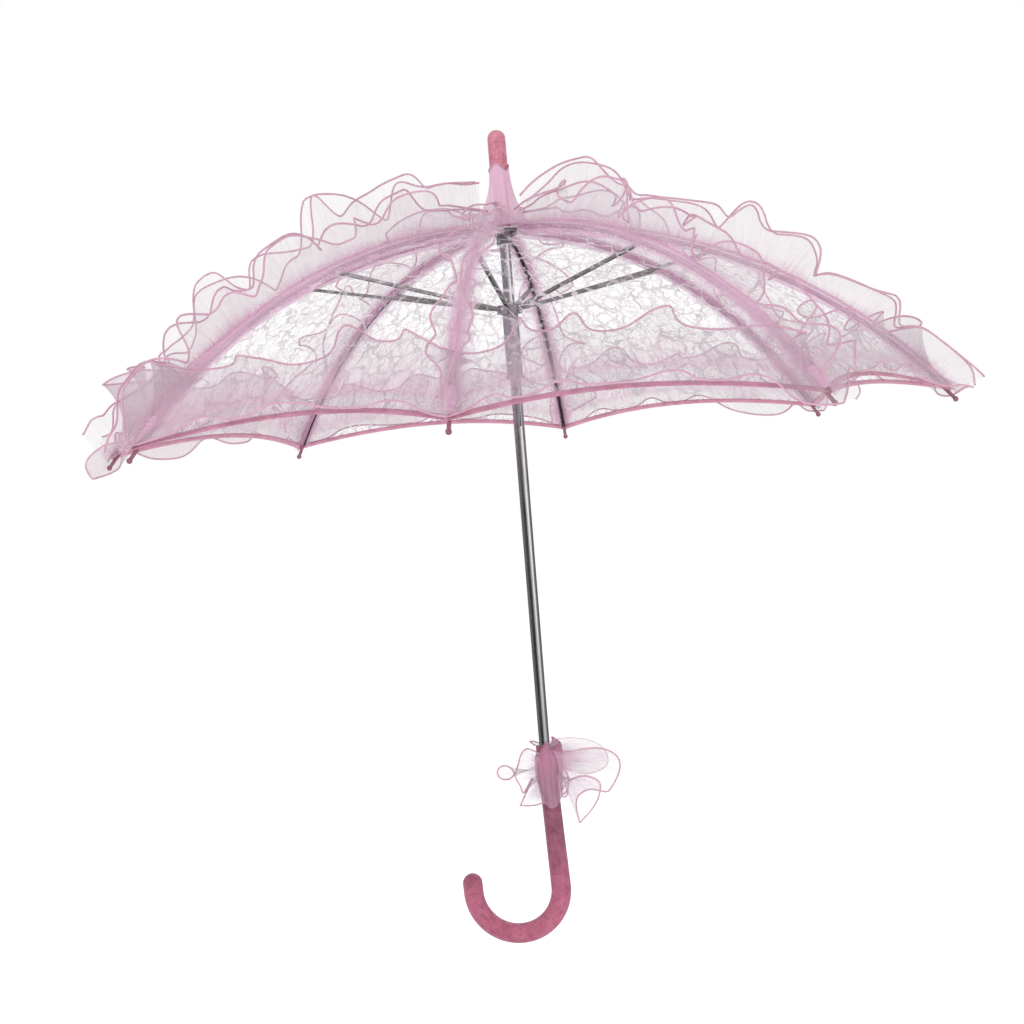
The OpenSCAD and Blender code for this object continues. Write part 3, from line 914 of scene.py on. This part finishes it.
def make_canopy_section(k):
    """Everything sewn to rib k, out to the middle of the gore on each side."""
    lace = cloth(f"lace_{k}", 48, 72, lace_place(k), {"cloth": lace_chart(k), "edges": edge_chart(k)},
                 LACE, outward_of_dome)
    # folded binding over the hem
    bm = bmesh.new()
    steps = [i / 24 - 1 for i in range(49)]
    path = [hem_line(k, t, 0.0015, 0.0) for t in steps]
    faces = [outward_of_dome(p) for p in path]
    rope(bm, path, 0.0030, 0.0011, faces, 8)
    binding = finished(f"hem_binding_{k}", bm, BINDING)
    # gathered tape over the seam
    a = azimuth(k)
    lateral = Vector((-math.sin(a), math.cos(a), 0))
    bulge = ripple(60 + k, 6)

    def tape_place(t, s):
        theta = FRILL_START + (THETA_HEM - 0.004 - FRILL_START) * s
        half = 0.0075 + 0.0022 * bulge(s * 3)
        arch = 0.0030 * (1 - t * t)
        edge = abs(t) * half / max(LACE_ARC * math.sin(theta) * math.sin(math.pi / RIBS), half)
        beside = max(min(edge, 1.0), 1e-6) * (1 if t > 0 else -1)
        across_cloth = gore_point(k, beside, LACE_ARC * math.sin(theta))
        return across_cloth + outward_of_dome(across_cloth) * (0.0007 + arch)

    tape = cloth(f"seam_tape_{k}", 8, 120, tape_place,
                 {"cloth": lambda t, s, side: (s * 0.43 + k, t * 0.008)}, TAPE, outward_of_dome)
    # strip folded over the rib under the lace, its two legs hanging beside the rib

    def casing_place(t, s):
        theta = math.radians(2.6) + (THETA_HEM - math.radians(3.4)) * s
        top = LACE_ARC - 0.0007
        leg = 0.0068 + 0.0012 * bulge(s * 2 + 0.4)
        if abs(t) < 0.3:
            off, drop = t / 0.3 * 0.0024, 0.0
        else:
            off = math.copysign(0.0024 + 0.0016 * (abs(t) - 0.3), t)
            drop = (abs(t) - 0.3) / 0.7 * leg
        return rib_point(k, theta, top - drop) + lateral * off

    casing = cloth(f"rib_casing_{k}", 20, 96, casing_place,
                   {"cloth": lambda t, s, side: (s * 0.43 + k, (abs(t) - 0.3) * 0.009)}, TAPE,
                   outward_of_dome)
    # standing frill on the seam, with its two rolled edges
    frill = cloth(f"seam_frill_{k}", 24, 216, frill_place(k), {"cloth": frill_chart(k, 0.78)}, ORGANZA,
                  lambda p: outward_of_dome(p))
    place = frill_place(k)
    bm = bmesh.new()
    for side in (-1, 1):
        rope(bm, [place(side, i / 216) for i in range(217)], 0.00092, sides=6)
    frill_edge = finished(f"seam_frill_edge_{k}", bm, ROLLED)
    # frill along the hem, with its two rolled edges
    place = hem_frill_place(k)
    # the hem frill's second map holds its painted shade, darker towards the parasol's left side
    hem_frill = cloth(f"hem_frill_{k}", 96, 20, place,
                      {"cloth": hem_frill_chart(k), "tight": tightness_chart(place)}, HEM_ORGANZA,
                      outward_of_dome)
    bm = bmesh.new()
    for s in (0.0, 1.0):
        rope(bm, [place(i / 64 - 1, s) for i in range(129)], 0.00088, sides=6)
    hem_edge = finished(f"hem_frill_edge_{k}", bm, ROLLED)
    # each piece: its object, the share of its width left at full fold, and its finish slot
    made = {
        "lace": (lace, 0.22, "lace"), "binding": (binding, 0.22, "organza"), "tape": (tape, 0.6, "organza"),
        "casing": (casing, 1.0, "organza"), "frill": (frill, 0.30, "organza"),
        "frill_edge": (frill_edge, 0.30, "organza"), "hem_frill": (hem_frill, 0.22, "organza"),
        "hem_edge": (hem_edge, 0.22, "organza"),
    }
    for piece, keep, slot in made.values():
        fold_with(piece, k, keep)
    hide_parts(f"canopy_{k}")
    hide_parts(f"ruffle_{k}")
    return {part: piece for part, (piece, _, _) in made.items()}


sections = {k: make_canopy_section(k) for k in range(1, RIBS + 1)}

for k, made in sections.items():
    area = measured_area(made["lace"])


# ---------------------------------------------------------------- gathered wrap under the ferrule

def spring_line(points, count):
    """Smooth path through a few points, evenly stepped in their order."""
    pts = [Vector(p) for p in points]
    pts = [pts[0] * 2 - pts[1]] + pts + [pts[-1] * 2 - pts[-2]]
    path = []
    for i in range(count):
        along = i / (count - 1) * (len(pts) - 3)
        n = min(int(along), len(pts) - 4)
        u = along - n
        a, b, c, d = pts[n:n + 4]
        path.append(0.5 * ((2 * b) + (c - a) * u + (2 * a - 5 * b + 4 * c - d) * u * u
                           + (3 * b - a - 3 * c + d) * u ** 3))
    return path


def wrap_place(t, s):
    turn = math.pi * t
    neck = ferrule_high.x + 0.0009
    skirt = wrap_high.x - 0.002
    pleat = math.sin(9 * turn + 1.2 * math.sin(2 * turn)) + 0.5 * math.sin(16 * turn + 0.6)
    left = max(0.0, -math.cos(turn + 0.35)) ** 2
    radius = neck + (skirt - neck) * s ** 2.1 * (1 + 0.55 * left)
    radius *= 1 + 0.085 * pleat * s * (1.3 - s)
    radius = max(radius, neck)
    top = wrap_high.z + 0.0015 + 0.003 * math.sin(3 * turn + 0.5)
    foot = arc_height(radius, LACE_ARC) + 0.0015
    z = top + (foot - top) * s ** 0.92
    return Vector((radius * math.cos(turn), radius * math.sin(turn), z))


wrap = cloth("ferrule_gather", 128, 24, wrap_place,
             {"cloth": lambda t, s, side: (t * 0.08, 0.05 * s)}, WRAP_ORGANZA,
             lambda p: Vector((p.x, p.y, 0.01)).normalized())
bm = bmesh.new()
rope(bm, [wrap_place(i / 96 - 1, 1.0) + Vector((0, 0, 0.0008)) for i in range(193)], 0.0009, sides=6)
rope(bm, [wrap_place(i / 32 - 1, 0.0) for i in range(65)], 0.0007, sides=6)
wrap_edge = finished("ferrule_gather_edge", bm, ROLLED)
for piece in (wrap, wrap_edge):
    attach(piece, "root")
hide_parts("ferrule_wrap")


# ---------------------------------------------------------------- bow at the top of the grip

BOW_BASE = GRIP_TOP - 0.067   # level that the bow's heights are counted from


def by_grip(x, z, depth):
    """Point near the grip from millimetres: right, up from the bow's base level, and back."""
    return Vector((x / 1000, depth / 1000, z / 1000 + BOW_BASE))


def knot_place(t, s):
    turn = math.pi * t
    front = (1 - math.sin(turn)) / 2
    foot = 0.036 - 0.028 * front ** 1.6
    rim = 0.0665 + 0.004 * math.sin(3 * turn + 0.8) + 0.004 * math.cos(turn)
    z = rim + (foot - rim) * s
    middle = 0.0030 + 0.0012 * (1 - s)
    radius = 0.0122 + 0.0016 * math.sin(math.pi * min(1.0, s * 1.15)) - 0.0012 * s
    radius -= 0.0068 * max(0.0, 1 - s / 0.16) ** 1.6
    pleat = math.sin(11 * turn + 2.0 * s) + 0.6 * math.sin(19 * turn - 1.3 * s)
    radius += 0.00055 * pleat
    lean = math.tan(math.radians(2.2)) * (GRIP_TOP - z)
    x = middle * 0.6 + lean + radius * math.cos(turn)
    return Vector((x, radius * math.sin(turn), z + BOW_BASE))


knot = cloth("bow_knot", 96, 24, knot_place, {"cloth": lambda t, s, side: (t * 0.05, 0.06 * s)}, KNOT_ORGANZA,
             lambda p: Vector((p.x - 0.003, p.y, 0)).normalized())

BOW_LEAVES = {
    "bow_right": (
        (0.100, 0.045),
        [(17, 61, -11), (26.8, 61.2, -13), (38.5, 62.6, -12), (52.8, 61.8, -8), (62.6, 57.6, -5),
         (69.2, 50.8, -4), (70.3, 42.1, -6), (66.3, 32.2, -9), (59.9, 23.2, -13), (56.1, 21.6, -15),
         (51.2, 23.0, -16), (41.3, 25.0, -16), (33.9, 22.5, -17), (29.2, 18.4, -19), (27.8, 9.9, -20),
         (29.1, -1.8, -19), (29.8, -5.4, -18), (34.9, -0.6, -20), (42.8, 7.6, -23), (49.3, 17.3, -26),
         (52.2, 25.8, -28), (52.6, 31.6, -29), (49.4, 36.1, -29), (42.4, 39.1, -28), (36.7, 39.7, -27),
         (29.3, 37.9, -24), (21.7, 33.3, -20), (16.2, 27.8, -16), (13.6, 22.2, -14), (16.5, 18.6, -14),
         (20.0, 21.5, -15), (20.7, 28.0, -15)],
        [(9, 63, -11), (12.5, 52, -12), (13, 40, -12.5), (13, 28, -12.5)]),
    "bow_left": (
        (0.050, 0.035),
        [(-3.7, 59.3, -11), (-9.2, 63.3, -10), (-16.4, 65.1, -8), (-21.8, 60.4, -8), (-25.5, 50.5, -9),
         (-29.1, 42.7, -9), (-33.0, 38.6, -10), (-38.2, 37.7, -11), (-43.2, 39.9, -12), (-45.2, 45.1, -13),
         (-42.3, 50.0, -13), (-37.1, 51.2, -12), (-32.2, 48.7, -12), (-29.0, 43.4, -13), (-27.3, 37.5, -14),
         (-24.1, 31.6, -15), (-21.8, 24.9, -15), (-17.7, 29.8, -15), (-12.7, 38.2, -13)],
        [(-3, 58, -12), (-6.5, 50, -11), (-7, 42, -11), (-6.5, 34, -11)]),
    "bow_left_low": (
        (0.035, 0.024),
        [(-11.5, 37.5, -12), (-15.5, 31.0, -13), (-19.6, 24.1, -14), (-25.0, 13.9, -15), (-24.8, 13.2, -15),
         (-16.2, 12.3, -14), (-8.9, 12.6, -12), (-2.0, 14.5, -10)],
        [(-7, 40, -11), (-7, 32, -11), (-5, 24, -11), (-2, 18, -11)]),
    "bow_fold": (
        (0.060, 0.036),
        [(4, 69, -9), (10.6, 72.0, -4), (22.4, 72.0, 2), (33.8, 70.2, 6), (45.0, 66.6, 8), (54.0, 60.0, 9),
         (58, 51, 10), (56, 42, 12), (48, 37, 13), (38, 35, 13), (28, 36, 13)],
        [(2, 64, -9), (9, 64, -5), (14, 57, 1), (14.5, 48, 5), (14, 40, 6)]),
    "bow_back": (
        (0.055, 0.033),
        [(-10, 66, 6), (-16, 68, 18), (-13, 66, 30), (-4, 60, 37), (5, 50, 40), (9, 38, 38), (8, 25, 34),
         (10, 14, 30), (16, 20, 24), (18, 32, 18), (16, 40, 12)],
        [(-6, 62, 8), (-2, 56, 10), (4, 48, 11), (10, 40, 10)]),
}


def make_leaf(name, edge, root):
    edge_path = spring_line([by_grip(*p) for p in edge], 121)
    root_path = spring_line([by_grip(*p) for p in root], 121)
    wave = ripple(sum(map(ord, name)), 5)

    def place(t, s):
        u = (t + 1) / 2 * 120
        i = min(int(u), 119)
        outer = edge_path[i].lerp(edge_path[i + 1], u - i)
        inner = root_path[i].lerp(root_path[i + 1], u - i)
        bulge = math.sin(math.pi * s) * (0.004 + 0.003 * wave(u / 120))
        crease = 0.0016 * math.sin(u * 0.42) * (1 - s) * s * 4
        towards = Vector((0, 1 if outer.y > 0.002 else -1, 0))
        return inner.lerp(outer, s) + towards * (bulge + crease)

    leaf = cloth(name, 120, 14, place, {"cloth": lambda t, s, side: (t * 0.11, s * 0.05)}, BOW_ORGANZA,
                 lambda p: Vector((0, -1 if p.y < 0.002 else 1, 0)))
    bm = bmesh.new()
    rope(bm, edge_path, 0.0003 if name == "bow_fold" else 0.0008, sides=6)
    return leaf, finished(name + "_edge", bm, ROLLED)


bow_pieces = {name: make_leaf(name, edge, root) for name, (_, edge, root) in BOW_LEAVES.items()}
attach(knot, "root")
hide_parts("handle_bow")
for name, (leaf, edge) in bow_pieces.items():
    for piece in (leaf, edge):
        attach(piece, "root")


import json
